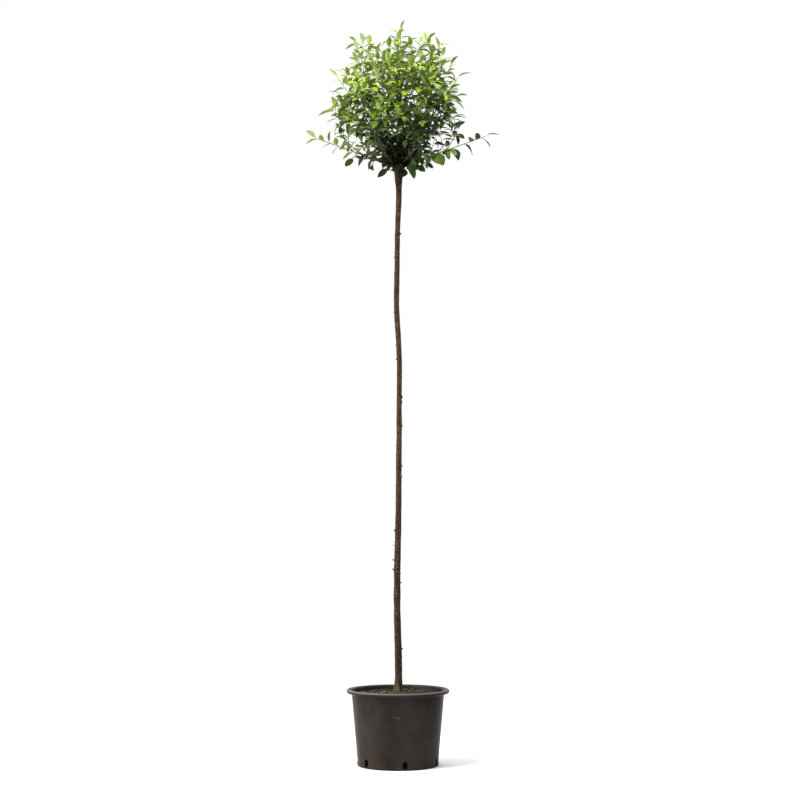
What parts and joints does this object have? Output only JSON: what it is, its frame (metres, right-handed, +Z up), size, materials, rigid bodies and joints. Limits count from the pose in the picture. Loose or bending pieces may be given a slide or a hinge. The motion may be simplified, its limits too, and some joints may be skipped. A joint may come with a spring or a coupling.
{
  "type": "potted globe cherry tree",
  "caption": "Young globe cherry tree: a round crown of small glossy leaves grafted on a tall slim bare stem, growing in a tapered black nursery pot filled with soil.",
  "frame": {"origin": "centre of the pot's flat underside, on the surface that it stands on", "axes": "+Z up along the stem, -Y towards the viewer of the picture, +X to the viewer's right"},
  "size_m": [0.6598, 0.5136, 2.5583],
  "materials": {
    "pot": "satin",
    "soil": "matte",
    "bark": "matte",
    "leaf": "satin"
  },
  "bodies": {
    "root": {"pot": "pot", "soil": "soil", "trunk": "bark", "bough_low_1": "bark", "bough_low_2": "bark", "bough_low_3": "bark", "bough_low_4": "bark", "bough_low_5": "bark", "bough_low_6": "bark", "bough_high_1": "bark", "bough_high_2": "bark", "bough_high_3": "bark", "bough_high_4": "bark", "bough_high_5": "bark", "bough_top": "bark", "foliage_low_1": "leaf", "foliage_low_2": "leaf", "foliage_low_3": "leaf", "foliage_low_4": "leaf", "foliage_low_5": "leaf", "foliage_low_6": "leaf", "foliage_high_1": "leaf", "foliage_high_2": "leaf", "foliage_high_3": "leaf", "foliage_high_4": "leaf", "foliage_high_5": "leaf", "foliage_top": "leaf"}
  },
  "joints": []
}
